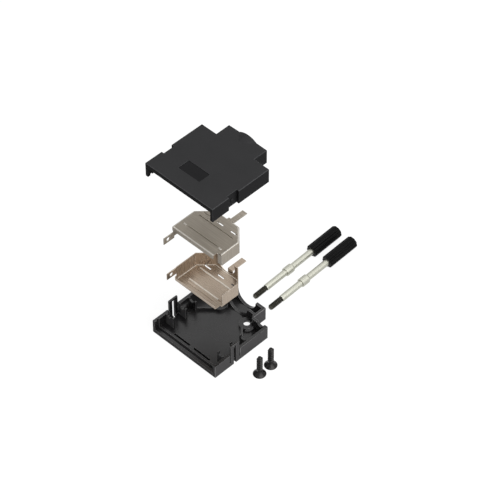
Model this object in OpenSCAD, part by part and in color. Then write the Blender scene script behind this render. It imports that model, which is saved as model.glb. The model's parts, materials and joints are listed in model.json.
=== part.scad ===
// Two-piece moulded hood for a 15-way D-shaped cable connector, with its two sheet-metal shields,
// two thumbscrews and two case screws, laid out one above the other as a taken-apart kit.
// X runs across the hood, Y from the connector face to the cable outlet, Z up through the halves.

/* [Connector seat] */
// Width of the connector's steel flange
flange_w = 39.14; // [36:0.01:42]
// Height of the connector's steel flange
flange_h = 12.55; // [11.5:0.01:14]
// Thickness of the flange at its seat
flange_t = 1.1; // [0.8:0.1:1.6]
// Distance between the two thumbscrew axes
jack_pitch = 33.32; // [32.8:0.01:34]
// Free space round the flange in its seat
seat_clear = 0.1; // [0.05:0.05:0.2]
// Thickness of the lip in front of the flange
lip_t = 1.6; // [1:0.1:2.4]
// Height of that lip above the floor
lip_h = 1.2; // [0.6:0.1:1.8]
// Thickness of the ridge behind the flange
ridge_t = 1.2; // [0.8:0.1:1.8]

/* [Shell halves] */
// Thickness of the floor and of the roof
plate = 1.2; // [1:0.1:1.8]
// Skin left outside the flange groove
side_skin = 0.83; // [0.6:0.01:1.2]
// Thickness of the side walls
wall = 1.5; // [1.2:0.1:1.8]
// Depth of the wide part, from the connector face
body_d = 34.5; // [33.5:0.5:37]
// Width of the neck round the cable
neck_w = 23.2; // [22:0.2:25]
// Depth of the neck behind the wide part
neck_d = 7.9; // [7:0.1:10]
// Gap between the two rims when the hood is shut
rim_gap = 0.1; // [0.1:0.05:0.3]
// Width of the sunk panel on the roof
panel_w = 12.6; // [8:0.2:16]
// Depth of that panel along the hood
panel_d = 6.4; // [4:0.2:8]
// How far the panel is sunk
panel_sink = 0.3; // [0.2:0.05:0.5]
// Panel's nearest edge from the connector face
panel_y = 8; // [6:0.5:12]
// Panel's centre, left of the hood's centre line
panel_left = 1.8; // [0:0.1:3]
// Length of each blind groove in the tray's floor
floor_groove_l = 10.2; // [8:0.2:12]
// Width of a floor groove
floor_groove_w = 1.1; // [0.8:0.1:1.4]
// Depth of a floor groove
floor_groove_deep = 0.7; // [0.3:0.05:0.7]
// Distance between the two floor grooves
floor_groove_gap = 2.7; // [2:0.1:4]
// Thickness of the ribs along the shields' rear corners
corner_rib_t = 0.9; // [0.7:0.05:1]
// Height of those ribs above the floor
corner_rib_h = 1.8; // [1.2:0.1:2.2]

/* [Latch arms] */
// Front edge of each arm, from the connector face
latch_y = 10.2; // [9.6:0.1:10.8]
// Width of an arm
latch_w = 5.4; // [5:0.1:5.6]
// Thickness of an arm
latch_t = 0.9; // [0.7:0.05:1]
// Height of an arm above the rim
latch_rise = 5.4; // [4.5:0.1:6.5]
// Height of an arm's root above the floor
latch_root = 1; // [0.6:0.1:1.4]
// Width of the slot in an arm, which opens through the tray's bottom edge
latch_slot = 1.5; // [1.2:0.1:2]
// Bar left above the slot
latch_bar = 1.2; // [0.8:0.1:1.6]
// Slit on each side of an arm
latch_slit = 0.6; // [0.4:0.1:0.8]
// Free space behind an arm
latch_clear = 0.5; // [0.4:0.05:0.55]
// Wall at the back of the cover's latch recess
recess_back = 0.7; // [0.6:0.05:0.8]
// Height of the snap peg in the recess
peg_h = 1.6; // [1:0.1:2]
// Free space round the peg in the arm's slot
peg_side = 0.15; // [0.1:0.05:0.3]
// Free space between the peg and the arm it passes
peg_gap = 0.1; // [0.05:0.05:0.2]

/* [Cable outlet] */
// Diameter of the cable opening
cable_d = 12.4; // [10:0.2:12.6]
// Thickness of the inner clamp rib
clamp_t = 1.4; // [1:0.1:2]
// Rise of the arch over the roof at the outlet
arch_rise = 1.6; // [1:0.1:2.2]
// Length of that arch, which runs out forwards
arch_l = 6; // [4:0.1:7]

/* [Shields] */
// Thickness of the sheet
sheet = 0.4; // [0.3:0.05:0.5]
// Radius inside the bends of the sheet
bend_r = 0.4; // [0.2:0.05:0.5]
// Front edge of the shields, from the connector face
shield_y = 8.4; // [8:0.1:9]
// Straight length of the shields' sides
shield_straight = 14; // [13:0.1:14.4]
// Reach of the slanted rear corners
shield_chamfer = 7; // [6.4:0.1:7.4]
// Height of the lower shield's walls
lower_wall = 8; // [7:0.1:9]
// Height of the upper shield's walls
upper_wall = 6.6; // [6.5:0.1:7]
// Free space between the nested shields
nest_gap = 0.2; // [0.15:0.05:0.25]
// Free space between a shield and the collars beside it
shield_clear = 0.15; // [0.1:0.05:0.3]
// Free space between a shield and the plastic it lies on
shield_gap = 0.5; // [0.45:0.05:0.7]
// Height of the folded lip at a shield's front
fold_h = 2.2; // [1.6:0.1:2.4]
// Height of an ear
ear_h = 3.8; // [3:0.1:4.4]
// Diameter of an ear's hole
ear_hole = 1.9; // [1.4:0.1:2.2]
// Opening for the cable in a shield's rear wall
shield_arch_d = 10.4; // [9:0.2:11]
// Width of the tongue that meets the cable's braid
tongue_w = 3; // [2:0.1:3.4]
// Length of that tongue
tongue_l = 9; // [7:0.1:10]
// Tongue's centre, right of the centre line
tongue_right = 1.5; // [0:0.1:2]
// Step of the lower tongue towards the cable
lower_jog = 2.4; // [1.4:0.1:3]
// Step of the upper tongue towards the cable
upper_jog = 1.6; // [1.2:0.1:3]
// Width of the turned-in edge at the upper shield's front
return_w = 2.6; // [2:0.1:3]
// Distance of that edge from the upper shield's front
return_back = 2.9; // [2:0.1:3.4]
// Width of the cut at the lower shield's right front corner
corner_cut = 1.5; // [1:0.1:2]
// Length of each slot in a shield
slot_l = 3.9; // [3:0.1:4.4]
// Width of each slot
slot_w = 0.8; // [0.6:0.1:1]
// Distance between neighbouring slots
slot_pitch = 8.4; // [7.4:0.1:9]
// Distance of the front rib from a shield's front edge
rib_front = 5.3; // [4.5:0.1:7]
// Length of the front rib
rib_front_l = 18.5; // [14:0.1:20]
// Length of the rear rib
rib_rear_l = 21.4; // [16:0.1:22]
// Width of a pressed rib
rib_w = 0.9; // [0.7:0.1:1.2]
// Height of a pressed rib
rib_h = 0.3; // [0.2:0.05:0.35]
// Length of the shallow groove inside a shield's front
front_groove_l = 16; // [12:0.5:20]
// Width of that groove
front_groove_w = 0.6; // [0.4:0.05:0.8]
// Depth of that groove
front_groove_deep = 0.2; // [0.1:0.05:0.25]
// Distance of that groove from a shield's front edge
front_groove_y = 2.6; // [2:0.1:3.2]
// Length of the pips that keep a shield off the plastic
pip_l = 1.8; // [1.2:0.1:2.4]
// Width of a pip
pip_w = 0.9; // [0.6:0.1:1.2]
// Pip's centre, in from the shield's side
pip_in = 3.4; // [3:0.1:3.6]
// Pip's front, from the shield's front edge
pip_y = 4.7; // [4.2:0.1:5.2]
// Sheet left round the hollow of a pip
pip_wall = 0.25; // [0.2:0.05:0.3]
// Free space between a pip and the plastic
pip_clear = 0.15; // [0.1:0.05:0.25]

/* [Thumbscrews] */
// Diameter of the shaft
shaft_d = 3.2; // [3.15:0.05:3.3]
// Outer diameter of the 4-40 UNC thread
thread_d = 2.84; // [2.5:0.01:2.84]
// Length of the thread
thread_l = 7.8; // [6:0.1:9]
// Bevel at the tip
tip_bevel = 0.5; // [0.3:0.1:0.7]
// Diameter of the collar
collar_d = 4.4; // [4.2:0.05:4.4]
// Distance from the tip to the collar
collar_from = 21.1; // [20.6:0.1:21.5]
// Length of the collar
collar_l = 4.8; // [4:0.1:5.2]
// Length of the taper at the collar's back
collar_taper = 0.6; // [0.4:0.1:1]
// Distance from the tip to the knob
knob_from = 39.2; // [38.8:0.1:39.8]
// Diameter of the knob
knob_d = 6.4; // [5.8:0.1:6.6]
// Length of the knob
knob_l = 18.2; // [16:0.1:20]
// Length of the shaft's root inside the knob
root_l = 11; // [8:0.5:14]
// Bevel at the knob's front
knob_bevel = 0.3; // [0.2:0.05:0.5]
// Rounding of the knob's far end
knob_round = 0.6; // [0.4:0.1:1]
// Number of flutes round the knob
flutes = 9; // [7:1:10]
// Diameter of the cutter that leaves a flute
flute_d = 1.5; // [1.2:0.1:1.6]
// Cutter's axis outside the knob's surface
flute_out = 0.15; // [0.1:0.01:0.25]
// Free space round the shaft in its saddles
saddle_clear = 0.15; // [0.1:0.05:0.2]
// Free space at each end of the collar
collar_clear = 0.2; // [0.1:0.05:0.3]
// Free space between the hood and a knob
knob_gap = 0.4; // [0.3:0.1:0.8]
// Thickness of a saddle
saddle_t = 1.1; // [0.8:0.1:1.4]

/* [Case screws] */
// Diameter over the thread
screw_d = 2.9; // [2.6:0.1:3.1]
// Length of a screw
screw_l = 11.4; // [10:0.1:11.8]
// Diameter of its countersunk head
screw_head_d = 6.3; // [5.6:0.1:6.6]
// Height of the head
screw_head_h = 1.8; // [1.6:0.1:2.1]
// Straight edge round the head
screw_edge = 0.25; // [0.2:0.05:0.4]
// Width of the cross recess in the head
drive_w = 0.9; // [0.7:0.05:1]
// Length of that recess across the head
drive_l = 3.2; // [2.8:0.1:3.4]
// Depth of that recess
drive_deep = 1.2; // [0.8:0.1:1.2]
// Plain shank under the head
screw_shank = 0.8; // [0.4:0.1:1.2]
// Distance between the ridges of its thread
screw_pitch = 1.3; // [1:0.05:1.4]
// Height of the ridges
screw_ridge = 0.5; // [0.3:0.05:0.55]
// Length of the blunt point
screw_point = 0.4; // [0.3:0.1:1]
// Free space round a screw in its hole
screw_clear = 0.2; // [0.1:0.05:0.3]
// Screw axis, in from the neck's side
screw_inset = 2.8; // [2.6:0.1:3]
// Screw axis, in from the back of the wide part
screw_setback = 2.1; // [1.9:0.1:2.3]
// Wall of the boss that takes a screw
boss_wall = 1.1; // [0.9:0.05:1.15]
// Bite of the thread in the boss
screw_bite = 0.25; // [0.15:0.05:0.3]
// Wall of the pad round a screw's head
pad_wall = 0.4; // [0.3:0.05:0.6]
// Floor of the pad over the screw's head
pad_land = 1; // [0.6:0.1:1.4]

/* [Layout] */
// Lift of the lower shield above its seat
lower_lift = 31.6; // [20:0.2:40]
// Lift of the upper shield above its seat
upper_lift = 54.4; // [44:0.2:64]
// Lift of the top cover above its seat
cover_lift = 93.2; // [80:0.2:100]
// Left thumbscrew, left of the centre line
thumb_left = 1.1; // [0:0.1:3]
// Distance between the thumbscrews on the table
thumb_pitch = 10.1; // [8:0.1:14]
// Distance from the neck to a thumbscrew's tip
thumb_behind = 5.2; // [3:0.1:10]
// Distance from the hood's side to the case screws
loose_side = 12.5; // [8:0.1:20]
// Front case screw, from the connector face
loose_y = 16.1; // [10:0.1:20]
// Distance between the case screws on the table
loose_pitch = 7.3; // [7:0.1:12]

/* [Hidden] */
$fn = 48;

// Small overlap that makes a joined piece certain
eps = 0.05;
// Overrun of a cut past the face it opens
over = 1;

// Sizes that follow from the connector
hood_w = flange_w + 2 * (seat_clear + side_skin);
half_h = flange_h / 2 + seat_clear + plate;
hood_h = 2 * half_h + rim_gap;
hood_d = body_d + neck_d;
jack_x = jack_pitch / 2;
seat_y = lip_t + flange_t + 2 * seat_clear;
inner_x = hood_w / 2 - wall;

// Shields between the collars, the lower one nested in the upper one
shield_half = jack_x - collar_d / 2 - shield_clear;
nest_in = sheet + nest_gap;
bend_out = bend_r + sheet;
seat_z = plate + shield_gap;
lower_mid = half_h - seat_z;
upper_mid = half_h + rim_gap - seat_z;
ear_l = shield_y - seat_y - ridge_t / 4;
slot_y = shield_straight + shield_chamfer / 3;
ribs = [[rib_front, rib_front_l], [shield_straight - rib_w / 2, rib_rear_l]];

// Thumbscrew at home: its knob just clears the back of the wide part
collar_y = body_d + knob_gap - knob_from + collar_from;
saddle_in = shield_half + shield_clear / 2;
saddle_r = shaft_d / 2 + saddle_clear;
saddle_ys = [seat_y + ridge_t + saddle_t * 3, collar_y - collar_clear - saddle_t,
             collar_y + collar_l + collar_clear];

// Case screws, their pads in the tray and their bosses in the cover
screw_x = neck_w / 2 - screw_inset;
screw_y = body_d - screw_setback;
screw_hole_r = screw_d / 2 + screw_clear;
pad_r = screw_head_d / 2 + screw_clear + pad_wall;
pad_top = screw_head_h + screw_clear + pad_land;
boss_r = screw_d / 2 + boss_wall;
pilot_r = screw_d / 2 - screw_bite;
clamp_y = screw_y + boss_r + 2 * screw_clear;

// Latch arms and the recesses that take them
recess_d = latch_t + latch_clear;
recess_side = latch_slit / 2;
arm_top = half_h + latch_rise;
arm_foot = plate + latch_root;
bar_z = arm_top - latch_bar;
latch_slot_y = latch_y + (latch_w - latch_slot) / 2;

// Outline of the hood: a wide part and a neck
module hood_plan() {
    translate([-hood_w / 2, 0]) square([hood_w, body_d]);
    translate([-neck_w / 2, body_d - eps]) square([neck_w, neck_d + eps]);
}

// Inside of the hood, open at the connector face
module cavity_plan() {
    translate([-inner_x, -over]) square([2 * inner_x, body_d - wall + over]);
    translate([-neck_w / 2 + wall, body_d - 2 * wall]) square([neck_w - 2 * wall, neck_d + wall]);
}

// Rod along the hood at the height of the parting plane
module rod(x, y, r, length) {
    translate([x, y, half_h]) rotate([-90, 0, 0]) cylinder(h = length, r = r);
}

// Short wall along a slanted rear corner of the shields, on the right
module corner_rib() {
    out = [1, 1] / sqrt(2);
    near = 2 * shield_clear * out;
    far = near + corner_rib_t * out;
    start = [shield_half, shield_y + shield_straight];
    stop = start + shield_chamfer * [-1, 1];
    translate([0, 0, plate - eps]) linear_extrude(corner_rib_h + eps)
        polygon([start + near, stop + near, stop + far, start + far]);
}

// What both halves share: walls, flange seat, thumbscrew saddles and cable clamp
module shell_half() {
    difference() {
        union() {
            difference() {
                linear_extrude(half_h) hood_plan();
                translate([0, 0, plate]) linear_extrude(half_h) cavity_plan();
                translate([-flange_w / 2 - seat_clear, lip_t, plate])
                    cube([flange_w + 2 * seat_clear, seat_y - lip_t, half_h]);
            }
            for (y_size = [[0, lip_t], [seat_y, ridge_t]])
                translate([-inner_x - eps, y_size[0], plate - eps])
                    cube([2 * (inner_x + eps), y_size[1], lip_h + eps]);
            for (side = [0, 1], y = saddle_ys)
                mirror([side, 0, 0]) translate([saddle_in, y, plate - eps])
                    cube([inner_x + eps - saddle_in, saddle_t, half_h - plate + eps]);
            translate([-neck_w / 2 + eps, clamp_y, plate - eps])
                cube([neck_w - 2 * eps, clamp_t, half_h - plate + eps]);
            for (side = [0, 1])
                mirror([side, 0, 0]) corner_rib();
        }
        for (x = [-jack_x, jack_x])
            rod(x, seat_y + ridge_t, saddle_r, body_d);
        rod(0, body_d, cable_d / 2, neck_d + over);
    }
}

// Flexible arm on the right, before its slot is cut
module latch_arm() {
    translate([hood_w / 2 - latch_t, latch_y, arm_foot - eps])
        cube([latch_t, latch_w, arm_top - arm_foot + eps]);
}

// Slot through the arm and the wall under it, on the right
module latch_slot_cut() {
    translate([inner_x - eps, latch_slot_y, -over])
        cube([wall + eps + over, latch_slot, bar_z + over]);
}

// Tray: the lower moulded half, with latch arms and countersunk screw holes
module bottom_cover() {
    color("#3b3a3b") to_table() difference() {
        union() {
            difference() {
                shell_half();
                for (side = [0, 1])
                    mirror([side, 0, 0]) translate([inner_x - over, latch_y - latch_slit, arm_foot])
                        cube([wall + 2 * over, latch_w + 2 * latch_slit, half_h]);
            }
            for (side = [0, 1])
                mirror([side, 0, 0]) latch_arm();
            for (x = [-screw_x, screw_x])
                translate([x, screw_y, plate - eps]) cylinder(h = pad_top - plate + eps, r = pad_r);
        }
        for (x = [-screw_x, screw_x])
            translate([x, screw_y, 0]) {
                translate([0, 0, -over]) cylinder(h = half_h + 2 * over, r = screw_hole_r);
                translate([0, 0, -eps]) cylinder(h = screw_head_h + eps,
                    r1 = screw_head_d / 2 + screw_clear + eps, r2 = screw_hole_r);
                translate([0, 0, pad_top]) cylinder(h = half_h, r = boss_r + screw_clear);
            }
        for (side = [0, 1])
            mirror([side, 0, 0]) {
                latch_slot_cut();
                translate([floor_groove_gap / 2, seat_y + ridge_t + floor_groove_w / 2,
                           plate - floor_groove_deep])
                    cube([floor_groove_l, floor_groove_w, floor_groove_deep + over]);
            }
    }
}

// Cover: the upper moulded half, with latch recesses, screw bosses and the cable arch
module top_cover() {
    color("#38383a") to_table(cover_lift) difference() {
        union() {
            difference() {
                translate([0, 0, hood_h]) mirror([0, 0, 1]) shell_half();
                for (side = [0, 1])
                    mirror([side, 0, 0]) translate([hood_w / 2 - recess_d, latch_y - recess_side, 0])
                        cube([recess_d + over, latch_w + 2 * recess_side, hood_h + over]);
            }
            for (side = [0, 1])
                mirror([side, 0, 0]) latch_recess();
            for (x = [-screw_x, screw_x])
                translate([x, screw_y, pad_top + screw_clear])
                    cylinder(h = hood_h - plate / 2 - pad_top - screw_clear, r = boss_r);
            cable_arch();
        }
        for (x = [-screw_x, screw_x])
            translate([x, screw_y, 0]) cylinder(h = screw_l + over, r = pilot_r);
        translate([-panel_left - panel_w / 2, panel_y, hood_h - panel_sink])
            cube([panel_w, panel_d, panel_sink + over]);
    }
}

// Back wall of a latch recess with its snap peg, on the right
module latch_recess() {
    back_x = hood_w / 2 - recess_d;
    rim = half_h + rim_gap;
    translate([back_x - recess_back, latch_y - recess_side - recess_back, rim])
        cube([recess_back, latch_w + 2 * (recess_side + recess_back), half_h - eps]);
    translate([back_x - eps, latch_slot_y + peg_side, bar_z - peg_side - peg_h])
        cube([latch_clear - peg_gap + eps, latch_slot - 2 * peg_side, peg_h]);
}

// Arch of the roof over the cable, a cone that stands proud at the rear edge and runs out into the roof
module cable_arch() {
    intersection() {
        translate([0, hood_d - arch_l, half_h + rim_gap]) rotate([-90, 0, 0])
            cylinder(h = arch_l, r1 = half_h - plate / 4, r2 = half_h + arch_rise);
        translate([-neck_w / 2, 0, hood_h - plate / 2]) cube([neck_w, hood_d, half_h]);
    }
}

// Outline of a shield, drawn in from the outer sheet's line and from its front
function shield_outline(inset, front) =
    let (half = shield_half - inset,
         side = shield_straight - inset * (sqrt(2) - 1),
         back = shield_straight + shield_chamfer - inset,
         rear = half - (back - side))
    [[-half, front], [half, front], [half, side], [rear, back], [-rear, back], [-half, side]];

// Block with a shield's outline, whose lower edges and corners are rounded
module shield_block(inset, front, r, height) {
    hull()
        for (a = [0:22.5:90])
            translate([0, 0, r * (1 - cos(a))]) linear_extrude(height - r * (1 - cos(a)))
                offset(r = r * sin(a), $fn = 32) polygon(shield_outline(inset + r, front + r));
}

// One pressed shield with its outer face at z = 0 and its walls upwards, cut back at its right front corner
module shield(inset, wall_h, wall_from, mid, jog, corner) {
    half = shield_half - inset;
    back = shield_straight + shield_chamfer - inset;
    side_from = wall_from + bend_out;
    difference() {
        union() {
            difference() {
                shield_block(inset, 0, bend_out, wall_h);
                translate([0, 0, sheet]) shield_block(inset + sheet, sheet, bend_r, wall_h);
                translate([-hood_w, -over, fold_h]) cube([2 * hood_w, side_from + over, wall_h]);
            }
            for (rib = ribs)
                translate([-rib[1] / 2, rib[0] - rib_w / 2, sheet - eps]) cube([rib[1], rib_w, rib_h + eps]);
            for (x = [-half + pip_in, half - pip_in])
                translate([x - pip_l / 2, pip_y, pip_clear - shield_gap])
                    cube([pip_l, pip_w, shield_gap - pip_clear + eps]);
            translate([-half, wall_from - ear_l, mid - ear_h / 2])
                cube([sheet, ear_l + bend_out + sheet, ear_h]);
            translate([tongue_right - tongue_w / 2, back + sheet, 0]) {
                translate([0, -bend_out - sheet, 0]) cube([tongue_w, bend_out + 2 * sheet, sheet]);
                cube([tongue_w, sheet, jog + sheet]);
                translate([0, 0, jog]) cube([tongue_w, tongue_l, sheet]);
            }
        }
        for (i = [-1:1])
            translate([i * slot_pitch - slot_l / 2, slot_y - slot_w / 2, -over])
                cube([slot_l, slot_w, 2 * over]);
        for (rib = ribs)
            translate([-rib[1] / 2 + rib_w / 4, rib[0] - rib_w / 4, -eps])
                cube([rib[1] - rib_w / 2, rib_w / 2, rib_h + eps]);
        for (x = [-half + pip_in, half - pip_in])
            translate([x - pip_l / 2 + pip_wall, pip_y + pip_wall, sheet / 4])
                cube([pip_l - 2 * pip_wall, pip_w - 2 * pip_wall, sheet]);
        translate([-front_groove_l / 2, front_groove_y, sheet - front_groove_deep])
            cube([front_groove_l, front_groove_w, sheet]);
        translate([half - corner[0], -over, -over])
            cube([corner[0] + over, corner[1] + over, wall_h + 2 * over]);
        translate([-half - over, wall_from - ear_l / 2, mid]) rotate([0, 90, 0])
            cylinder(h = 2 * over, r = ear_hole / 2);
        translate([0, back - bend_out - eps, mid]) rotate([-90, 0, 0])
            cylinder(h = bend_out + 2 * eps, r = shield_arch_d / 2);
    }
}

// Lower shield: its walls stand inside those of the upper one
module lower_shield() {
    color("#a89a88") to_table(lower_lift) translate([0, shield_y, seat_z])
        shield(nest_in, lower_wall, nest_in, lower_mid, lower_jog, [corner_cut, return_back + nest_in]);
}

// Upper shield: the same pressing turned over, with one front edge turned in
module upper_shield() {
    color("#90887c") to_table(upper_lift) translate([0, shield_y, hood_h - seat_z]) mirror([0, 0, 1]) {
        shield(0, upper_wall, 0, upper_mid, upper_jog, [return_w, return_back]);
        translate([shield_half - return_w, return_back, 2 * sheet])
            cube([return_w, sheet, upper_wall - 2 * sheet]);
    }
}

// Turned steel shaft along +Y from its tip: thread, shaft, collar and the root inside the knob
module shaft() {
    r = shaft_d / 2;
    collar_r = collar_d / 2;
    collar_end = collar_from + collar_l;
    rotate([-90, 0, 0]) rotate_extrude() polygon([
        [0, 0], [thread_d / 2 - tip_bevel, 0], [thread_d / 2, tip_bevel], [thread_d / 2, thread_l],
        [r, thread_l + tip_bevel / 4], [r, collar_from], [collar_r, collar_from],
        [collar_r, collar_end - collar_taper], [r, collar_end],
        [r, knob_from + root_l], [0, knob_from + root_l]]);
}

// Moulded knob with its flutes, its rounded end and a blind bore for the shaft's root
module knob() {
    r = knob_d / 2;
    end = knob_from + knob_l;
    rotate([-90, 0, 0]) difference() {
        rotate_extrude() polygon(concat(
            [[0, knob_from], [r - knob_bevel, knob_from], [r, knob_from + knob_bevel]],
            [for (a = [0:18:90]) [r, end] + knob_round * [cos(a) - 1, sin(a) - 1]],
            [[0, end]]));
        translate([0, 0, knob_from - over]) cylinder(h = root_l + over, r = shaft_d / 2);
        for (i = [0:flutes - 1])
            rotate(90 + (i + 0.5) * 360 / flutes) translate([r + flute_out, 0, knob_from - over])
                cylinder(h = knob_l + 2 * over, d = flute_d, $fn = 16);
    }
}

// Lays a thumbscrew on the table, on the thread behind its tip and on the knob's front rim
module on_table(x) {
    slope = atan((knob_d - thread_d) / 2 / (knob_from + knob_bevel - tip_bevel));
    axis_z = thread_d / 2 * cos(slope) - tip_bevel * sin(slope);
    translate([x, hood_d + thumb_behind, axis_z]) rotate([slope, 0, 0]) children();
}

// Self-tapping screw that stands on its flat head, with its cross recess and the ridges of its thread
module case_screw() {
    r = screw_d / 2;
    core = r - screw_ridge;
    from = screw_head_h + screw_shank;
    point = screw_l - screw_point;
    ridges = floor((point - from) / screw_pitch);
    difference() {
        rotate_extrude() polygon(concat(
            [[0, 0], [screw_head_d / 2, 0], [screw_head_d / 2, screw_edge], [core, screw_head_h]],
            [for (i = [0:ridges - 1], p = [[core, 0], [r, 0.35], [r, 0.5], [core, 0.9]])
                [p[0], from + (i + p[1]) * screw_pitch]],
            [[core, point], [core - screw_point / 2, screw_l], [0, screw_l]]));
        for (turn = [0, 90])
            rotate(turn) translate([-drive_l / 2, -drive_w / 2, -over])
                cube([drive_l, drive_w, drive_deep + over]);
    }
}

// Puts what is drawn from the connector face about the origin, under the wide part's middle
module to_table(lift = 0) {
    translate([0, -body_d / 2, lift]) children();
}

module shaft_left() { color("#d8d8c8") to_table() on_table(-thumb_left) shaft(); }
module shaft_right() { color("#d8d8c8") to_table() on_table(thumb_pitch - thumb_left) shaft(); }
module knob_left() { color("#1c1c1c") to_table() on_table(-thumb_left) knob(); }
module knob_right() { color("#1c1c1c") to_table() on_table(thumb_pitch - thumb_left) knob(); }

// A case screw at its place beside the hood
module loose_screw(row) {
    color("#1a1a1a") to_table() translate([hood_w / 2 + loose_side, loose_y + row * loose_pitch, 0])
        case_screw();
}

module case_screw_front() { loose_screw(0); }
module case_screw_rear() { loose_screw(1); }

bottom_cover();
lower_shield();
upper_shield();
top_cover();
shaft_left();
shaft_right();
knob_left();
knob_right();
case_screw_front();
case_screw_rear();
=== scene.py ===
"""Looks of a cable connector hood kit, taken apart: two moulded halves, two shields and their screws."""

import json
import logging
from dataclasses import dataclass
from enum import Enum, IntEnum
from math import cos, radians, sin, tau

import bmesh
import bpy
from mathutils import Matrix, Vector


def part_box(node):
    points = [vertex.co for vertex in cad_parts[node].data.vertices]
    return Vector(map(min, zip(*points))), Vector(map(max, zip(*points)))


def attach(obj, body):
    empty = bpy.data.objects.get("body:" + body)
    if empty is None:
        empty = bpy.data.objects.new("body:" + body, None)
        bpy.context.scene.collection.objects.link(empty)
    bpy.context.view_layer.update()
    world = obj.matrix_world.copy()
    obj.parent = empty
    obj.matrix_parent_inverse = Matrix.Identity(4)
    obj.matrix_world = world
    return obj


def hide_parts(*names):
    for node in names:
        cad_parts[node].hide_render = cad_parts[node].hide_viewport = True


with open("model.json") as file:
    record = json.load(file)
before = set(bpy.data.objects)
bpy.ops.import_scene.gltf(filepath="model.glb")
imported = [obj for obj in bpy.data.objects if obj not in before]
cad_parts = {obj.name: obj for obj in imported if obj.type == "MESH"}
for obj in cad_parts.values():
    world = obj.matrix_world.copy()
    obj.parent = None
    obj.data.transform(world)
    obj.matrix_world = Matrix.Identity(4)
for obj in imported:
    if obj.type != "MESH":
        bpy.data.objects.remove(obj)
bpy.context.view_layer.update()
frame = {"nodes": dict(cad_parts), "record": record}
MM = 0.001
LOG = logging.getLogger("hood_kit")

# Face attribute that marks rounded edges, so that a finish can draw them paler: partly wear, partly a
# painted highlight
ROUNDED = "rounded"

# Sockets of the Mix node: colours A and B with their result, and numbers A and B
COLOUR_A, COLOUR_B, COLOUR_OUT = 6, 7, 2
NUMBER_A, NUMBER_B = 2, 3

# Part of a noise's range where most of its values lie
NOISE_LOW, NOISE_HIGH = 0.3, 0.7

# Points closer than this are one
MERGE_MM = 0.001

# Smallest turn at which two faces meet in an edge and not in a curve
EDGE_DEG = 40.0

# The thumbscrews lie on tip and knob, so that their axes lean; the case screws stand
THUMBSCREW_LEAN_DEG = 2.613
UPRIGHT_DEG = 90.0


class Body(Enum):
    """Bodies that carry the pieces."""

    TRAY = "tray"
    LOWER_SHIELD = "lower_shield"
    UPPER_SHIELD = "upper_shield"
    COVER = "top_cover"


class Side(Enum):
    """The two thumbscrews on the table."""

    LEFT = "left"
    RIGHT = "right"


class Row(Enum):
    """The two case screws on the table."""

    FRONT = "front"
    REAR = "rear"


class Polish(Enum):
    """Where a mould is polished and leaves the plastic smooth; those faces are also drawn darker, as
    painted shade.
    """

    INSIDE = "inside"
    WALLS_AND_PANEL = "walls and panel"


class Surface(IntEnum):
    """Finishes of a moulded half, by material index; the smooth finish and the groove finish carry
    painted shade.
    """

    MATT = 0
    SMOOTH = 1
    DULL = 2


def linear(colour: str) -> tuple[float, ...]:
    """Turns an sRGB hex colour to linear.

    Args:
        colour: A colour such as "#3a3a3c".

    Returns:
        Linear red, green and blue with full alpha.
    """
    parts = [int(colour[i:i + 2], 16) / 255 for i in (1, 3, 5)]
    return (*(c / 12.92 if c <= 0.04045 else ((c + 0.055) / 1.055) ** 2.4 for c in parts), 1.0)


def per_metre(size_mm: float) -> float:
    """Texture scale at which one step of a pattern is size_mm wide."""
    return 1 / (size_mm * MM)


def add_node(tree: bpy.types.NodeTree, kind: str, inputs: dict[str | int, object] | None = None,
             **settings: object) -> bpy.types.Node:
    """Adds a shader node with its settings and links.

    Args:
        tree: Tree that takes the node.
        kind: Blender's name for the node.
        inputs: Value or output socket for each named or numbered input.
        **settings: Properties of the node.

    Returns:
        The new node.
    """
    node = tree.nodes.new(kind)
    for name, value in settings.items():
        setattr(node, name, value)
    for socket, value in (inputs or {}).items():
        if isinstance(value, bpy.types.NodeSocket):
            tree.links.new(value, node.inputs[socket])
        else:
            node.inputs[socket].default_value = value
    return node


def blank_material(name: str) -> tuple[bpy.types.Material, bpy.types.NodeTree, bpy.types.NodeSocket]:
    """Starts a material.

    Args:
        name: Name for the real material and how its surface was made.

    Returns:
        The material, its emptied node tree and its Object coordinates.
    """
    material = bpy.data.materials.new(name)
    material.use_nodes = True
    tree = material.node_tree
    tree.nodes.clear()
    return material, tree, add_node(tree, "ShaderNodeTexCoord").outputs["Object"]


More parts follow.
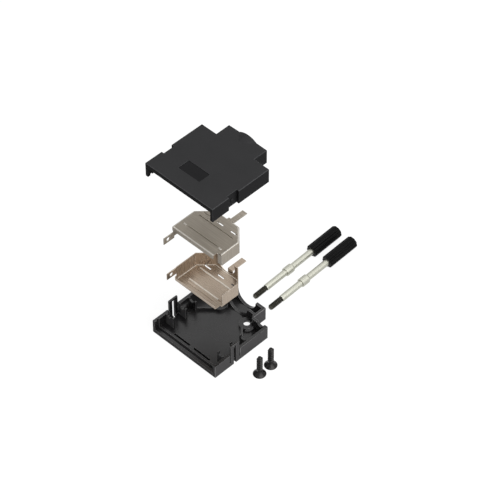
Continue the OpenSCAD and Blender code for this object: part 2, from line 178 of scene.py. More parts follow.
@dataclass(frozen=True)
class MouldedPlastic:
    """Black thermoplastic moulding.

    A spark-eroded mould leaves a fine matt grain and a polished one a smooth gloss. The flow of the melt
    changes the gloss slowly from place to place, and rounded edges are drawn paler: partly handling wear,
    partly a painted highlight.
    """

    name: str
    slot: str
    colour: str
    flow_colour: str
    edge_wear_and_highlight_colour: str
    roughness: float
    shine: float
    flow_mm: float = 11.0
    # A real grain is about 0.05 mm, drawn coarser so that it shows
    grain_mm: float = 0.3
    grain_deep_mm: float = 0.02
    grain_strength: float = 0.22
    gloss_change: float = 0.07
    edge_share: float = 0.55

    def material(self) -> bpy.types.Material:
        """Builds the material.

        Returns:
            A rough dielectric with mould grain, flow marks and paler edges: partly wear, partly a painted
            highlight.
        """
        material, tree, place = blank_material(self.name)
        flow = add_node(tree, "ShaderNodeTexNoise",
                        {"Vector": place, "Scale": per_metre(self.flow_mm), "Detail": 3.0})
        grain = add_node(tree, "ShaderNodeTexNoise",
                         {"Vector": place, "Scale": per_metre(self.grain_mm), "Detail": 2.0})
        tone = add_node(tree, "ShaderNodeMix",
                        {"Factor": flow.outputs["Fac"], COLOUR_A: linear(self.colour),
                         COLOUR_B: linear(self.flow_colour)}, data_type="RGBA")
        edge = add_node(tree, "ShaderNodeAttribute", attribute_name=ROUNDED)
        worn_and_highlit = add_node(tree, "ShaderNodeMath",
                        {0: edge.outputs["Fac"], 1: grain.outputs["Fac"]}, operation="MULTIPLY")
        # The grain, whose mean is a half, breaks up the paler edge, which is partly wear and partly a
        # painted highlight
        share = add_node(tree, "ShaderNodeMath", {0: worn_and_highlit.outputs[0], 1: 2 * self.edge_share},
                         operation="MULTIPLY", use_clamp=True)
        colour = add_node(tree, "ShaderNodeMix",
                          {"Factor": share.outputs[0], COLOUR_A: tone.outputs[COLOUR_OUT],
                           COLOUR_B: linear(self.edge_wear_and_highlight_colour)}, data_type="RGBA")
        gloss = add_node(tree, "ShaderNodeMapRange",
                         {"Value": flow.outputs["Fac"], "From Min": NOISE_LOW, "From Max": NOISE_HIGH,
                          "To Min": self.roughness - self.gloss_change,
                          "To Max": self.roughness + self.gloss_change})
        bump = add_node(tree, "ShaderNodeBump",
                        {"Strength": self.grain_strength, "Distance": self.grain_deep_mm * MM,
                         "Height": grain.outputs["Fac"]})
        shader = add_node(tree, "ShaderNodeBsdfPrincipled",
                          {"Base Color": colour.outputs[COLOUR_OUT],
                           "Roughness": gloss.outputs["Result"],
                           "Specular IOR Level": self.shine, "Normal": bump.outputs["Normal"]})
        add_node(tree, "ShaderNodeOutputMaterial", {"Surface": shader.outputs["BSDF"]})
        return material


@dataclass(frozen=True)
class PlatedSheet:
    """Cold-rolled steel sheet with a thin warm nickel plate.

    Rolling leaves fine streaks across the plate, which turn up with the end walls, the plating clouds a
    little, and the sheared edges, bends and pressed crests are burnished and drawn much paler: a painted
    highlight.
    """

    name: str
    slot: str
    colour: str
    cloud_colour: str
    streak_colour: str
    edge_wear_and_highlight_colour: str
    roughness: float
    metallic: float
    cloud_mm: float = 7.0
    # Real rolling marks are about 0.05 mm wide, drawn coarser so that they show
    streak_mm: tuple[float, float, float] = (14.0, 0.45, 14.0)
    streak_deep_mm: float = 0.006
    streak_strength: float = 0.3
    streak_share: float = 0.5
    streak_range: tuple[float, float] = (0.45, 0.75)
    gloss_change: float = 0.07
    edge_share: float = 0.7
    edge_roughness: float = 0.42

    def material(self) -> bpy.types.Material:
        """Builds the material.

        Returns:
            A metal with rolling streaks, clouded plate and burnished edges, drawn paler as a painted
            highlight.
        """
        material, tree, place = blank_material(self.name)
        rolled = add_node(tree, "ShaderNodeMapping",
                          {"Vector": place, "Scale": [per_metre(size) for size in self.streak_mm]})
        streak = add_node(tree, "ShaderNodeTexNoise",
                          {"Vector": rolled.outputs["Vector"], "Scale": 1.0, "Detail": 4.0})
        cloud = add_node(tree, "ShaderNodeTexNoise",
                         {"Vector": place, "Scale": per_metre(self.cloud_mm), "Detail": 3.0})
        tone = add_node(tree, "ShaderNodeMix",
                        {"Factor": cloud.outputs["Fac"], COLOUR_A: linear(self.colour),
                         COLOUR_B: linear(self.cloud_colour)}, data_type="RGBA")
        bright = add_node(tree, "ShaderNodeMapRange",
                          {"Value": streak.outputs["Fac"], "From Min": self.streak_range[0],
                           "From Max": self.streak_range[1], "To Max": self.streak_share})
        streaked = add_node(tree, "ShaderNodeMix",
                            {"Factor": bright.outputs["Result"], COLOUR_A: tone.outputs[COLOUR_OUT],
                             COLOUR_B: linear(self.streak_colour)}, data_type="RGBA")
        # Burnished edges, bends and crests get a much paler colour: a painted highlight
        edge = add_node(tree, "ShaderNodeAttribute", attribute_name=ROUNDED)
        share = add_node(tree, "ShaderNodeMath", {0: edge.outputs["Fac"], 1: self.edge_share},
                         operation="MULTIPLY")
        colour = add_node(tree, "ShaderNodeMix",
                          {"Factor": share.outputs[0], COLOUR_A: streaked.outputs[COLOUR_OUT],
                           COLOUR_B: linear(self.edge_wear_and_highlight_colour)}, data_type="RGBA")
        gloss = add_node(tree, "ShaderNodeMapRange",
                         {"Value": streak.outputs["Fac"], "From Min": NOISE_LOW, "From Max": NOISE_HIGH,
                          "To Min": self.roughness - self.gloss_change,
                          "To Max": self.roughness + self.gloss_change})
        burnished = add_node(tree, "ShaderNodeMix",
                             {"Factor": edge.outputs["Fac"], NUMBER_A: gloss.outputs["Result"],
                              NUMBER_B: self.edge_roughness})
        bump = add_node(tree, "ShaderNodeBump",
                        {"Strength": self.streak_strength, "Distance": self.streak_deep_mm * MM,
                         "Height": streak.outputs["Fac"]})
        shader = add_node(tree, "ShaderNodeBsdfPrincipled",
                          {"Base Color": colour.outputs[COLOUR_OUT], "Roughness": burnished.outputs[0],
                           "Metallic": self.metallic, "Normal": bump.outputs["Normal"]})
        add_node(tree, "ShaderNodeOutputMaterial", {"Surface": shader.outputs["BSDF"]})
        return material


@dataclass(frozen=True)
class TurnedSteel:
    """Free-cutting steel, turned and then plated or blackened.

    The tool leaves fine rings round the axis, and the coating tints the metal in soft patches. Rounded
    rims are drawn paler: partly wear, partly a painted highlight.
    """

    name: str
    slot: str
    colour: str
    patch_colour: str
    edge_wear_and_highlight_colour: str
    roughness: float
    metallic: float
    lean_deg: float = 0.0
    patch_mm: float = 3.5
    # Real tool marks are about 0.05 mm apart, drawn coarser so that they show
    ring_mm: float = 0.9
    ring_deep_mm: float = 0.003
    ring_strength: float = 0.02
    gloss_change: float = 0.03
    edge_share: float = 0.6

    def material(self) -> bpy.types.Material:
        """Builds the material.

        Returns:
            A metal with rings about its axis, which lies along Y and leans up by lean_deg.
        """
        material, tree, place = blank_material(self.name)
        turned = add_node(tree, "ShaderNodeMapping",
                          {"Vector": place, "Rotation": (-radians(self.lean_deg), 0.0, 0.0)})
        along = add_node(tree, "ShaderNodeMapping",
                         {"Vector": turned.outputs["Vector"],
                          "Scale": (0.0, per_metre(self.ring_mm), 0.0)})
        ring = add_node(tree, "ShaderNodeTexNoise",
                        {"Vector": along.outputs["Vector"], "Scale": 1.0, "Detail": 2.0})
        patch = add_node(tree, "ShaderNodeTexNoise",
                         {"Vector": place, "Scale": per_metre(self.patch_mm), "Detail": 3.0})
        tone = add_node(tree, "ShaderNodeMix",
                        {"Factor": patch.outputs["Fac"], COLOUR_A: linear(self.colour),
                         COLOUR_B: linear(self.patch_colour)}, data_type="RGBA")
        # Rounded rims get a paler colour: partly wear, partly a painted highlight
        edge = add_node(tree, "ShaderNodeAttribute", attribute_name=ROUNDED)
        share = add_node(tree, "ShaderNodeMath", {0: edge.outputs["Fac"], 1: self.edge_share},
                         operation="MULTIPLY")
        colour = add_node(tree, "ShaderNodeMix",
                          {"Factor": share.outputs[0], COLOUR_A: tone.outputs[COLOUR_OUT],
                           COLOUR_B: linear(self.edge_wear_and_highlight_colour)}, data_type="RGBA")
        gloss = add_node(tree, "ShaderNodeMapRange",
                         {"Value": ring.outputs["Fac"], "From Min": NOISE_LOW, "From Max": NOISE_HIGH,
                          "To Min": self.roughness - self.gloss_change,
                          "To Max": self.roughness + self.gloss_change})
        bump = add_node(tree, "ShaderNodeBump",
                        {"Strength": self.ring_strength, "Distance": self.ring_deep_mm * MM,
                         "Height": ring.outputs["Fac"]})
        shader = add_node(tree, "ShaderNodeBsdfPrincipled",
                          {"Base Color": colour.outputs[COLOUR_OUT], "Roughness": gloss.outputs["Result"],
                           "Metallic": self.metallic, "Normal": bump.outputs["Normal"]})
        add_node(tree, "ShaderNodeOutputMaterial", {"Surface": shader.outputs["BSDF"]})
        return material


# Matt outside of the tray, which scatters the light; drawn far paler than its black plastic, as painted
# light on the outer walls
TRAY_PLASTIC_PAINTED_LIGHT = MouldedPlastic("polyester_moulded_black_tray_painted_light", "tray_plastic",
                              "#585758", "#636263", "#a3a2a2", roughness=0.46, shine=0.02)
# Matt top of the cover, a deeper black
COVER_PLASTIC = MouldedPlastic("polyester_moulded_black_cover", "cover_plastic",
                               "#323233", "#3a3a3b", "#5d5d5f", roughness=0.48, shine=0.05)
# Polished inside of the tray: drawn nearly black as painted shade in its walls and crevices, with a soft
# mirror of what is above it
SMOOTH_SHADED_TRAY = MouldedPlastic("polyester_polished_black_tray_painted_shade", "tray_plastic",
                             "#171617", "#1d1c1d", "#737272", roughness=0.28, shine=0.55,
                             grain_strength=0.02)
# Smoother walls and panel of the cover, darker than its top: painted shade on the walls, the panel's own
# darker finish
SMOOTH_SHADED_COVER = MouldedPlastic("polyester_polished_black_cover_painted_shade", "cover_plastic",
                              "#242425", "#2a2a2b", "#4c4c4e", roughness=0.4, shine=0.02,
                              grain_strength=0.06)
# Narrow grooves of the tray, drawn nearly black as painted shade, so that they read as black lines
GROOVE_SHADE_TRAY = MouldedPlastic("polyester_groove_painted_shade", "tray_plastic",
                           "#0a0a0a", "#0f0f0f", "#2a2a2a", roughness=0.6, shine=0.02)
# Polyamide with a low gloss that picks out the flutes, with paler rounded flute edges: partly wear,
# partly a painted highlight
KNOB_PLASTIC = MouldedPlastic("polyamide_moulded_black_knob", "knob_plastic",
                              "#060606", "#0d0d0d", "#2e2e2e", roughness=0.33, shine=0.09)
# Greyish plate, with a soft and weak mirror
UPPER_SHEET = PlatedSheet("nickel_plated_rolled_steel_grey", "upper_sheet",
                          "#9d9487", "#a9a092", "#c6bdb0", "#eeeae2", roughness=0.42, metallic=0.3)
# Warmer plate, with a stronger mirror
LOWER_SHEET = PlatedSheet("nickel_plated_rolled_steel_warm", "lower_sheet",
                          "#a29283", "#ad9e8d", "#c1b4a4", "#eee8de", roughness=0.3, metallic=0.75)
# Zinc, bright and a little greenish
SHAFT_STEEL = TurnedSteel("zinc_plated_turned_steel", "plated_steel",
                          "#b4b4a9", "#adada2", "#c6c7bd", roughness=0.4, metallic=1.0,
                          lean_deg=THUMBSCREW_LEAN_DEG)
# The same zinc, drawn dark as painted shade between the flanks of the rolled thread
THREAD_STEEL_PAINTED_SHADE = TurnedSteel("zinc_plated_thread_painted_shade", "plated_steel",
                           "#4e4d46", "#42413b", "#6a6a61", roughness=0.4, metallic=1.0,
                           lean_deg=THUMBSCREW_LEAN_DEG)
# Black oxide with paler edges: partly worn oxide, partly a painted highlight
SCREW_STEEL = TurnedSteel("black_oxide_rolled_steel", "black_steel",
                          "#1c1b1b", "#252423", "#4f4e4c", roughness=0.3, metallic=0.7,
                          lean_deg=UPRIGHT_DEG)

# Any finish that a piece can wear
Finish = MouldedPlastic | PlatedSheet | TurnedSteel


def solid_copy(node: str) -> bmesh.types.BMesh:
    """Copies a node's mesh with its doubles merged and its flat faces whole.

    Args:
        node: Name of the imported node.

    Returns:
        A closed mesh with the layer that marks rounded edges.
    """
    flat_deg = 0.5
    mesh = bmesh.new()
    mesh.from_mesh(frame["nodes"][node].data)
    mesh.faces.layers.float.new(ROUNDED)
    bmesh.ops.remove_doubles(mesh, verts=mesh.verts, dist=MERGE_MM * MM)
    bmesh.ops.dissolve_degenerate(mesh, edges=mesh.edges, dist=MERGE_MM * MM)
    bmesh.ops.dissolve_limit(mesh, angle_limit=radians(flat_deg), verts=mesh.verts, edges=mesh.edges)
    return mesh


def face_width(face: bmesh.types.BMFace) -> float:
    """A face's area over its longest side, which is about its width."""
    return face.calc_area() / max(edge.calc_length() for edge in face.edges)


def convex_edges(mesh: bmesh.types.BMesh, angle_deg: float, short_mm: float,
                 width_mm: float = 0.0) -> list[bmesh.types.BMEdge]:
    """Finds the outer edges of a shape.

    Args:
        mesh: Closed mesh.
        angle_deg: Smallest turn between the two faces.
        short_mm: Shorter edges are left out.
        width_mm: Edges of narrower faces are left out.

    Returns:
        The edges.
    """
    mesh.normal_update()
    return [edge for edge in mesh.edges
            if edge.calc_face_angle_signed(0.0) > radians(angle_deg)
            and edge.calc_length() > short_mm * MM
            and min(face_width(face) for face in edge.link_faces) > width_mm * MM]


def round_edges(mesh: bmesh.types.BMesh, edges: list[bmesh.types.BMEdge], radius_mm: float,
                steps: int) -> None:
    """Rounds edges and marks the new faces.

    Args:
        mesh: Mesh that holds the edges.
        edges: Edges to round.
        radius_mm: How far the rounding reaches from each edge.
        steps: Faces across the rounding.
    """
    mark = mesh.faces.layers.float[ROUNDED]
    made = bmesh.ops.bevel(mesh, geom=edges, offset=radius_mm * MM, offset_type="OFFSET", segments=steps,
                           profile=0.5, affect="EDGES", clamp_overlap=False, material=-1)
    for face in made["faces"]:
        face[mark] = 1.0


def spun(profile_mm: list[tuple[float, float]], steps: int) -> bmesh.types.BMesh:
    """Turns a profile about the Z axis.

    Args:
        profile_mm: Radius and height of each corner, from axis to axis.
        steps: Faces round the axis.

    Returns:
        A closed mesh with the layer that marks rounded edges.
    """
    mesh = bmesh.new()
    mesh.faces.layers.float.new(ROUNDED)
    corners = [mesh.verts.new((radius * MM, 0.0, height * MM)) for radius, height in profile_mm]
    sides = [mesh.edges.new(pair) for pair in zip(corners, corners[1:])]
    bmesh.ops.spin(mesh, geom=corners + sides, cent=(0, 0, 0), axis=(0, 0, 1), angle=tau, steps=steps,
                   use_merge=True)
    bmesh.ops.remove_doubles(mesh, verts=mesh.verts, dist=MERGE_MM * MM)
    bmesh.ops.recalc_face_normals(mesh, faces=mesh.faces)
    return mesh


@dataclass(frozen=True)
class Thread:
    """Ridge that winds about the Z axis, with the ends cut back to the core by cones."""

    start_mm: float
    end_mm: float
    pitch_mm: float
    core_mm: float
    crest_mm: float
    crest_flat_mm: float
    foot_mm: float
    lead_mm: float
    steps_per_turn: int = 32

    def wind(self, mesh: bmesh.types.BMesh, material_index: int = 0) -> None:
        """Adds the ridge as a closed shell.

        Args:
            mesh: Mesh that takes the ridge, with its axis on Z.
            material_index: Index of its finish.
        """
        sunk_mm = self.core_mm - self.foot_mm / 4
        outline = [(sunk_mm, 0.0), (self.core_mm, 0.0),
                   (self.crest_mm, (self.foot_mm - self.crest_flat_mm) / 2),
                   (self.crest_mm, (self.foot_mm + self.crest_flat_mm) / 2),
                   (self.core_mm, self.foot_mm), (sunk_mm, self.foot_mm)]
        corners = [mesh.verts.new((radius * MM, 0.0, (self.start_mm + height) * MM))
                   for radius, height in outline]
        sides = [mesh.edges.new(pair) for pair in zip(corners, corners[1:] + corners[:1])]
        before = set(mesh.faces)
        turns = (self.end_mm - self.start_mm - self.foot_mm) / self.pitch_mm
        steps = round(turns * self.steps_per_turn)
        bmesh.ops.spin(mesh, geom=corners + sides, cent=(0, 0, 0), axis=(0, 0, 1),
                       dvec=(0, 0, self.pitch_mm * MM / self.steps_per_turn),
                       angle=steps * tau / self.steps_per_turn, steps=steps)
        ends = [edge for edge in mesh.edges if edge.is_boundary]
        bmesh.ops.holes_fill(mesh, edges=ends, sides=len(outline))
        ridge = [face for face in mesh.faces if face not in before]
        bmesh.ops.recalc_face_normals(mesh, faces=ridge)
        for face in ridge:
            face.material_index = material_index
        for vert in {vert for face in ridge for vert in face.verts}:
            self.cut_back(vert)

    def cut_back(self, vert: bmesh.types.BMVert) -> None:
        """Pulls a vertex in to the cones at the two ends of the thread.

        Args:
            vert: Vertex of the ridge.
        """
        reach = min(vert.co.z - self.start_mm * MM, self.end_mm * MM - vert.co.z)
        share = max(0.0, reach / (self.lead_mm * MM))
        most = (self.core_mm + (self.crest_mm - self.core_mm) * share) * MM
        radius = vert.co.xy.length
        if radius > most:
            vert.co.xy *= most / radius


def publish(mesh: bmesh.types.BMesh, name: str, body: Body, node: str, *finishes: Finish) -> None:
    """Makes a piece of a mesh, dresses it and hangs it on its body in place of its node.

    Args:
        mesh: Finished mesh in the shared frame, which is freed.
        name: Name of the piece.
        body: Body that carries it.
        node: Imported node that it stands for.
        *finishes: Finish of each material index.
    """
    smooth_deg = 32.0
    data = bpy.data.meshes.new(name)
    mesh.to_mesh(data)
    mesh.free()
    data.shade_smooth()
    data.set_sharp_from_angle(angle=radians(smooth_deg))
    for finish in finishes:
        data.materials.append(bpy.data.materials.get(finish.name) or finish.material())
    piece = bpy.data.objects.new(name, data)
    bpy.context.scene.collection.objects.link(piece)
    flat_faces = piece.modifiers.new("flat_faces", "WEIGHTED_NORMAL")
    flat_faces.keep_sharp = True
    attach(piece, body.value)
    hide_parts(node)
    LOG.info("%s: %d faces on %s", name, len(data.polygons), body.value)


@dataclass
class MouldedHalf:
    """One moulded half of the hood, with the small radii that the mould leaves.

    Faces at groove_mm above the half's lowest point are taken to lie in its grooves and get painted
    shade, and the sunk panel is known by its size, panel_mm.
    """

    node: str
    name: str
    body: Body
    finish: MouldedPlastic
    smooth_shaded_finish: MouldedPlastic
    groove_shade_finish: MouldedPlastic
    polish: Polish
    outer_mm: float = 0.3
    outer_width_mm: float = 1.7
    outer_short_mm: float = 1.0
    outer_steps: int = 3
    detail_mm: float = 0.1
    detail_short_mm: float = 0.3
    detail_steps: int = 2
    panel_mm: tuple[float, float] = (12.6, 6.4)
    groove_mm: tuple[float, float] = (0.4, 1.1)

    def build(self) -> None:
        """Rounds the outer edges, then the finer ones, and hangs the half on its body."""
        mesh = solid_copy(self.node)
        mesh.normal_update()
        low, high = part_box(self.node)
        for face in mesh.faces:
            face.material_index = self.surface(face, low, high).value
        for short_mm, width_mm, radius_mm, steps in (
                (self.outer_short_mm, self.outer_width_mm, self.outer_mm, self.outer_steps),
                (self.detail_short_mm, 0.0, self.detail_mm, self.detail_steps)):
            edges = [edge for edge in convex_edges(mesh, EDGE_DEG, short_mm, width_mm)
                     if self.has_room(edge, low.z)]
            round_edges(mesh, edges, radius_mm, steps)
        publish(mesh, self.name, self.body, self.node, self.finish, self.smooth_shaded_finish, self.groove_shade_finish)

    def surface(self, face: bmesh.types.BMFace, low: Vector, high: Vector) -> Surface:
        """Picks the finish of a face.

        Args:
            face: Face of the half.
            low: Lowest corner of the half's box.
            high: Highest corner of that box.

        Returns:
            Painted shade in a groove, and otherwise what the mould left, with painted shade on the smooth
            faces.
        """
        height = (face.calc_center_median().z - low.z) / MM
        if self.groove_mm[0] < height < self.groove_mm[1]:
            return Surface.DULL
        return Surface.SMOOTH if self.is_smooth_shaded(face, (low + high) / 2) else Surface.MATT

    def has_room(self, edge: bmesh.types.BMEdge, base: float) -> bool:
        """Says whether an edge can be rounded.

        Args:
            edge: Edge of the half.
            base: Height of the half's lowest point.

        Returns:
            False on the underside at an inner corner, where a countersink leaves no room.
        """
        slack = 0.01 * MM
        inner = -radians(EDGE_DEG)
        under = all(vert.co.z < base + slack for vert in edge.verts)
        near = [other for vert in edge.verts for other in vert.link_edges]
        return not (under and any(other.calc_face_angle_signed(0.0) < inner for other in near))

    def is_smooth_shaded(self, face: bmesh.types.BMFace, middle: Vector) -> bool:
        """Says whether the polished part of the mould made a face.

        Args:
            face: Face of the half.
            middle: Middle of the half's box.

        Returns:
            True for the polished part, which is also drawn darker as painted shade.
        """
        slack = 0.01
        if self.polish is Polish.INSIDE:
            outward = (face.calc_center_median() - middle).dot(face.normal) > 0
            return not (outward and face.normal.z < slack)
        upright = abs(face.normal.z) < slack
        panel = self.panel_mm[0] * self.panel_mm[1] * MM * MM
        return upright or abs(face.calc_area() / panel - 1) < slack


@dataclass(frozen=True)
class Pressing:
    """A form pressed in the sheet, known by the height of its side walls."""

    wall_mm: float
    short_mm: float
    round_mm: float


@dataclass
class Shield:
    """A folded shield with round bends, pressed ribs and pips, and burnished cut edges; bends, crests and
    cut edges get a painted highlight.
    """

    node: str
    name: str
    body: Body
    finish: PlatedSheet
    fold_width_mm: float = 0.6
    fold_step_deg: tuple[float, float] = (3.0, 30.0)
    fold_lean: float = 0.6
    cut_mm: float = 0.06
    cut_width_mm: float = 0.35
    cut_short_mm: float = 4.0
    cut_steps: int = 2
    press_steps: int = 3
    rib: Pressing = Pressing(wall_mm=0.3, short_mm=10.0, round_mm=0.26)
    pip: Pressing = Pressing(wall_mm=0.35, short_mm=0.7, round_mm=0.24)

    def press(self, mesh: bmesh.types.BMesh, form: Pressing) -> None:
        """Rounds the edges of a pressed form's crest, burnishes it and gives it a painted highlight.

        Args:
            mesh: Mesh of the shield.
            form: The form to find and soften.
        """
        slack_mm = 0.02
        crest_mm = 1.0
        mark = mesh.faces.layers.float[ROUNDED]
        edges = []
        for edge in convex_edges(mesh, EDGE_DEG, form.short_mm):
            low, high = sorted(face_width(face) / MM for face in edge.link_faces)
            if abs(low - form.wall_mm) < slack_mm and high < crest_mm:
                edges.append(edge)
        for face in {face for edge in edges for face in edge.link_faces}:
            face[mark] = 1.0
        round_edges(mesh, edges, form.round_mm, self.press_steps)

    def burnish_and_highlight_folds(self, mesh: bmesh.types.BMesh) -> None:
        """Marks the narrow faces where each fold leaves the flat, which the press tool burnishes, for a
        painted highlight.

        Args:
            mesh: Mesh of the shield.
        """
        mark = mesh.faces.layers.float[ROUNDED]
        least, most = (radians(step) for step in self.fold_step_deg)
        mesh.normal_update()
        for face in mesh.faces:
            turned = any(least < edge.calc_face_angle(0.0) < most for edge in face.edges)
            near_flat = abs(face.normal.z) > self.fold_lean
            if turned and near_flat and face_width(face) < self.fold_width_mm * MM:
                face[mark] = 1.0

    def build(self) -> None:
        """Burnishes the folds, softens pressed forms and cut edges, gives all of them a painted
        highlight, and hangs the shield on its body.
        """
        mesh = solid_copy(self.node)
        self.burnish_and_highlight_folds(mesh)
        for form in (self.rib, self.pip):
            self.press(mesh, form)
        cuts = convex_edges(mesh, EDGE_DEG, self.cut_short_mm, self.cut_width_mm)
        round_edges(mesh, cuts, self.cut_mm, self.cut_steps)
        publish(mesh, self.name, self.body, self.node, self.finish)


@dataclass
class Thumbscrew:
    """A captive jackscrew: threaded tip, shaft, collar and a fluted knob."""

    side: Side
    thread: Thread = Thread(start_mm=0.0, end_mm=7.8, pitch_mm=0.635, core_mm=1.06, crest_mm=1.42,
                            crest_flat_mm=0.09, foot_mm=0.56, lead_mm=0.75)
    tip_share: float = 0.85
    tip_mm: float = 0.25
    runout_mm: float = 0.1
    shoulder_mm: float = 0.15
    shaft_mm: float = 1.6
    collar_mm: float = 2.2
    collar_from_mm: float = 21.1
    collar_end_mm: float = 25.9
    collar_taper_mm: float = 0.6
    root_end_mm: float = 50.2
    pin_middle_mm: float = 4.15
    steps: int = 64
    turn_deg: float = 35.0
    turn_short_mm: float = 0.05
    round_mm: float = 0.12
    flute_short_mm: float = 2.0
    flute_mm: float = 0.08
    round_steps: int = 2

    def place(self) -> Matrix:
        """Finds where the screw lies.

        Returns:
            Its frame, with the tip at the origin and the axis along +Z.
        """
        mounts = {mount["name"]: mount for mount in frame["record"]["mounts"]}
        pin = mounts[f"thread_{self.side.value}"]
        along = -Vector(pin["axis"])
        tip = Vector(pin["pos_m"]) - along * self.pin_middle_mm * MM
        turn = Vector((0, 0, 1)).rotation_difference(along)
        return Matrix.Translation(tip) @ turn.to_matrix().to_4x4()

    def shaft_profile(self) -> list[tuple[float, float]]:
        """Lists the corners of the turned shaft.

        Returns:
            Radius and distance from the tip of each corner.
        """
        core = self.thread.core_mm
        thread_end = self.thread.end_mm
        return [(0.0, 0.0), (core * self.tip_share, 0.0), (core, self.tip_mm),
                (core, thread_end - self.runout_mm), (self.shaft_mm - self.shoulder_mm, thread_end),
                (self.shaft_mm, thread_end + self.shoulder_mm),
                (self.shaft_mm, self.collar_from_mm), (self.collar_mm, self.collar_from_mm),
                (self.collar_mm, self.collar_end_mm - self.collar_taper_mm),
                (self.shaft_mm, self.collar_end_mm), (self.shaft_mm, self.root_end_mm),
                (0.0, self.root_end_mm)]

    def build_shaft(self) -> None:
        """Turns the shaft, winds its thread and hangs it on the tray's body."""
        mesh = spun(self.shaft_profile(), self.steps)
        rims = convex_edges(mesh, self.turn_deg, self.turn_short_mm)
        round_edges(mesh, rims, self.round_mm, self.round_steps)
        # The threaded end takes the darker copy of the zinc: painted shade between the flanks
        finishes = (SHAFT_STEEL, THREAD_STEEL_PAINTED_SHADE)
        threaded = finishes.index(THREAD_STEEL_PAINTED_SHADE)
        for face in mesh.faces:
            if face.calc_center_median().z < self.thread.end_mm * MM:
                face.material_index = threaded
        self.thread.wind(mesh, threaded)
        bmesh.ops.transform(mesh, matrix=self.place(), verts=mesh.verts)
        node = f"shaft_{self.side.value}"
        publish(mesh, f"thumbscrew_shaft_{self.side.value}", Body.TRAY, node, *finishes)

    def build_knob(self) -> None:
        """Softens the knob's flutes and rim and hangs it on the tray's body."""
        node = f"knob_{self.side.value}"
        mesh = solid_copy(node)
        flutes = convex_edges(mesh, EDGE_DEG, self.flute_short_mm)
        round_edges(mesh, flutes, self.flute_mm, self.round_steps)
        publish(mesh, f"thumbscrew_knob_{self.side.value}", Body.TRAY, node, KNOB_PLASTIC)

    def build(self) -> None:
        """Builds the shaft and the knob."""
        self.build_shaft()
        self.build_knob()


@dataclass
class CaseScrew:
    """A countersunk self-tapping screw that stands on its head."""

    row: Row
    thread: Thread = Thread(start_mm=2.3, end_mm=11.1, pitch_mm=1.3, core_mm=0.95, crest_mm=1.45,
                            crest_flat_mm=0.12, foot_mm=0.7, lead_mm=0.4)
    head_mm: float = 1.8
    shank_end_mm: float = 2.6
    length_mm: float = 11.4
    point_mm: float = 0.3
    steps: int = 48
    head_short_mm: float = 0.1
    core_turn_deg: float = 20.0
    core_short_mm: float = 0.05
    round_mm: float = 0.06
    round_steps: int = 2

    def core(self) -> bpy.types.Mesh:
        """Turns the core that carries the thread.

        Returns:
            A new mesh, from inside the head to the point.
        """
        radius = self.thread.core_mm
        profile = [(0.0, self.head_mm), (radius, self.head_mm), (radius, self.length_mm - self.point_mm),
                   (radius - self.point_mm / 2, self.length_mm), (0.0, self.length_mm)]
        mesh = spun(profile, self.steps)
        rims = convex_edges(mesh, self.core_turn_deg, self.core_short_mm)
        round_edges(mesh, rims, self.round_mm, self.round_steps)
        turned = bpy.data.meshes.new("turned_core")
        mesh.to_mesh(turned)
        mesh.free()
        return turned

    def build(self) -> None:
        """Keeps the head with its cross recess, adds core and thread, and hangs it on the tray's body."""
        node = f"case_screw_{self.row.value}"
        low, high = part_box(node)
        foot = Vector(((low.x + high.x) / 2, (low.y + high.y) / 2, low.z))
        mesh = solid_copy(node)
        bmesh.ops.translate(mesh, vec=-foot, verts=mesh.verts)
        bmesh.ops.bisect_plane(mesh, geom=[*mesh.verts, *mesh.edges, *mesh.faces],
                               plane_co=(0, 0, self.shank_end_mm * MM), plane_no=(0, 0, 1),
                               clear_outer=True)
        cut = [edge for edge in mesh.edges if edge.is_boundary]
        bmesh.ops.holes_fill(mesh, edges=cut, sides=0)
        rims = convex_edges(mesh, EDGE_DEG, self.head_short_mm)
        round_edges(mesh, rims, self.round_mm, self.round_steps)
        turned = self.core()
        mesh.from_mesh(turned)
        bpy.data.meshes.remove(turned)
        self.thread.wind(mesh)
        bmesh.ops.translate(mesh, vec=foot, verts=mesh.verts)
        publish(mesh, f"case_screw_body_{self.row.value}", Body.TRAY, node, SCREW_STEEL)


@dataclass(frozen=True)
class Softbox:
    name: str
    where_mm: tuple[float, float, float]
    side_mm: float
    watts: float


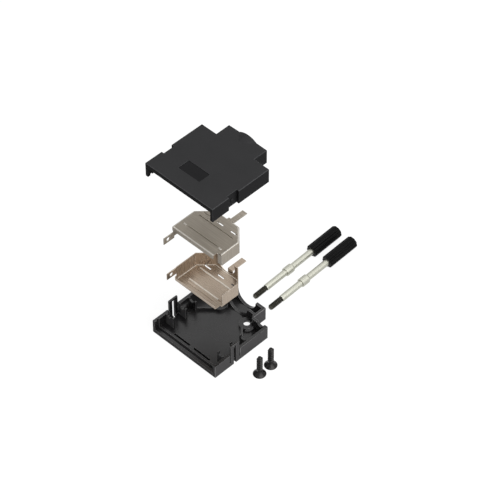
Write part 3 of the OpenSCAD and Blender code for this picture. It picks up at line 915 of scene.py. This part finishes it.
@dataclass
class Studio:
    """White floor, soft lamps and the long lens of the photograph."""

    aim_mm: tuple[float, float, float] = (10.2, 15.9, 52.2)
    azimuth_deg: float = 44.35
    elevation_deg: float = 46.05
    distance_mm: float = 1000.0
    lens_mm: float = 160.6
    sensor_mm: float = 36.0
    sight_m: float = 10.0
    floor_side_mm: float = 9000.0
    floor_drop_mm: float = 0.05
    floor_colour: str = "#888888"
    floor_lift: float = 0.88
    floor_near_mm: float = 250.0
    floor_far_mm: float = 900.0
    ambient: float = 0.06
    lamps: tuple[Softbox, ...] = (
        Softbox("key_softbox", (-120.0, 60.0, 1050.0), side_mm=800.0, watts=3.1),
        Softbox("right_softbox", (670.0, -60.0, 760.0), side_mm=900.0, watts=8.6),
    )

    def camera(self) -> None:
        """Sets up the camera at the photograph's angle."""
        azimuth = radians(self.azimuth_deg)
        elevation = radians(self.elevation_deg)
        back = Vector((sin(azimuth) * cos(elevation), -cos(azimuth) * cos(elevation), sin(elevation)))
        data = bpy.data.cameras.new("long_lens")
        data.lens = self.lens_mm
        data.sensor_width = self.sensor_mm
        data.clip_end = self.sight_m
        camera = bpy.data.objects.new("long_lens", data)
        camera.location = (Vector(self.aim_mm) + back * self.distance_mm) * MM
        camera.rotation_euler = back.to_track_quat("Z", "Y").to_euler()
        bpy.context.scene.collection.objects.link(camera)
        bpy.context.scene.camera = camera

    def seen_rays(self, tree: bpy.types.NodeTree) -> bpy.types.NodeSocket:
        """Picks out the rays that show the background: to the eye, in metal and through glass.

        Args:
            tree: Tree of the floor or the world.

        Returns:
            1 for such a ray, 0 for light that is scattered.
        """
        rays = add_node(tree, "ShaderNodeLightPath").outputs
        direct = add_node(tree, "ShaderNodeMath", {0: rays["Is Camera Ray"], 1: rays["Is Glossy Ray"]},
                          operation="MAXIMUM")
        return add_node(tree, "ShaderNodeMath", {0: direct.outputs[0], 1: rays["Is Transmission Ray"]},
                        operation="MAXIMUM").outputs[0]

    def floor(self) -> None:
        mesh = bmesh.new()
        bmesh.ops.create_grid(mesh, x_segments=1, y_segments=1, size=self.floor_side_mm / 2 * MM)
        bmesh.ops.translate(mesh, vec=(0, 0, -self.floor_drop_mm * MM), verts=mesh.verts)
        data = bpy.data.meshes.new("floor")
        mesh.to_mesh(data)
        mesh.free()
        material, tree, place = blank_material("white_paper_sweep")
        lit = add_node(tree, "ShaderNodeBsdfDiffuse", {"Color": linear(self.floor_colour)})
        away = add_node(tree, "ShaderNodeVectorMath", {0: place}, operation="LENGTH")
        white = add_node(tree, "ShaderNodeMapRange",
                         {"Value": away.outputs["Value"], "From Min": self.floor_near_mm * MM,
                          "From Max": self.floor_far_mm * MM, "To Min": self.floor_lift})
        lift = add_node(tree, "ShaderNodeMath",
                        {0: self.seen_rays(tree), 1: white.outputs["Result"]}, operation="MULTIPLY")
        glow = add_node(tree, "ShaderNodeEmission", {"Strength": lift.outputs[0]})
        both = add_node(tree, "ShaderNodeAddShader",
                        {0: lit.outputs["BSDF"], 1: glow.outputs["Emission"]})
        add_node(tree, "ShaderNodeOutputMaterial", {"Surface": both.outputs["Shader"]})
        data.materials.append(material)
        floor = bpy.data.objects.new("floor", data)
        bpy.context.scene.collection.objects.link(floor)

    def world(self) -> None:
        """Surrounds the scene with white, which lights it only softly."""
        world = bpy.data.worlds.new("studio")
        world.use_nodes = True
        tree = world.node_tree
        tree.nodes.clear()
        white = add_node(tree, "ShaderNodeMix",
                         {"Factor": self.seen_rays(tree), NUMBER_A: self.ambient, NUMBER_B: 1.0})
        glow = add_node(tree, "ShaderNodeBackground",
                        {"Color": linear("#ffffff"), "Strength": white.outputs[0]})
        add_node(tree, "ShaderNodeOutputWorld", {"Surface": glow.outputs["Background"]})
        bpy.context.scene.world = world

    def light(self) -> None:
        aim = Vector(self.aim_mm)
        for lamp in self.lamps:
            data = bpy.data.lights.new(lamp.name, "AREA")
            data.shape = "SQUARE"
            data.size = lamp.side_mm * MM
            data.energy = lamp.watts
            box = bpy.data.objects.new(lamp.name, data)
            box.location = Vector(lamp.where_mm) * MM
            box.rotation_euler = (Vector(lamp.where_mm) - aim).to_track_quat("Z", "Y").to_euler()
            bpy.context.scene.collection.objects.link(box)

    def build(self) -> None:
        """Sets the view transform and builds camera, floor, world and lamps."""
        bpy.context.scene.view_settings.view_transform = "Standard"
        self.camera()
        self.floor()
        self.world()
        self.light()


def main() -> None:
    logging.basicConfig(level=logging.INFO, format="%(message)s")
    Studio().build()
    MouldedHalf("bottom_cover", "tray_moulding", Body.TRAY, TRAY_PLASTIC_PAINTED_LIGHT, SMOOTH_SHADED_TRAY, GROOVE_SHADE_TRAY,
                Polish.INSIDE).build()
    MouldedHalf("top_cover", "cover_moulding", Body.COVER, COVER_PLASTIC, SMOOTH_SHADED_COVER, SMOOTH_SHADED_COVER,
                Polish.WALLS_AND_PANEL).build()
    Shield("lower_shield", "lower_shield_sheet", Body.LOWER_SHIELD, LOWER_SHEET).build()
    Shield("upper_shield", "upper_shield_sheet", Body.UPPER_SHIELD, UPPER_SHEET).build()
    for side in Side:
        Thumbscrew(side).build()
    for row in Row:
        CaseScrew(row).build()


if __name__ == "__main__":
    main()
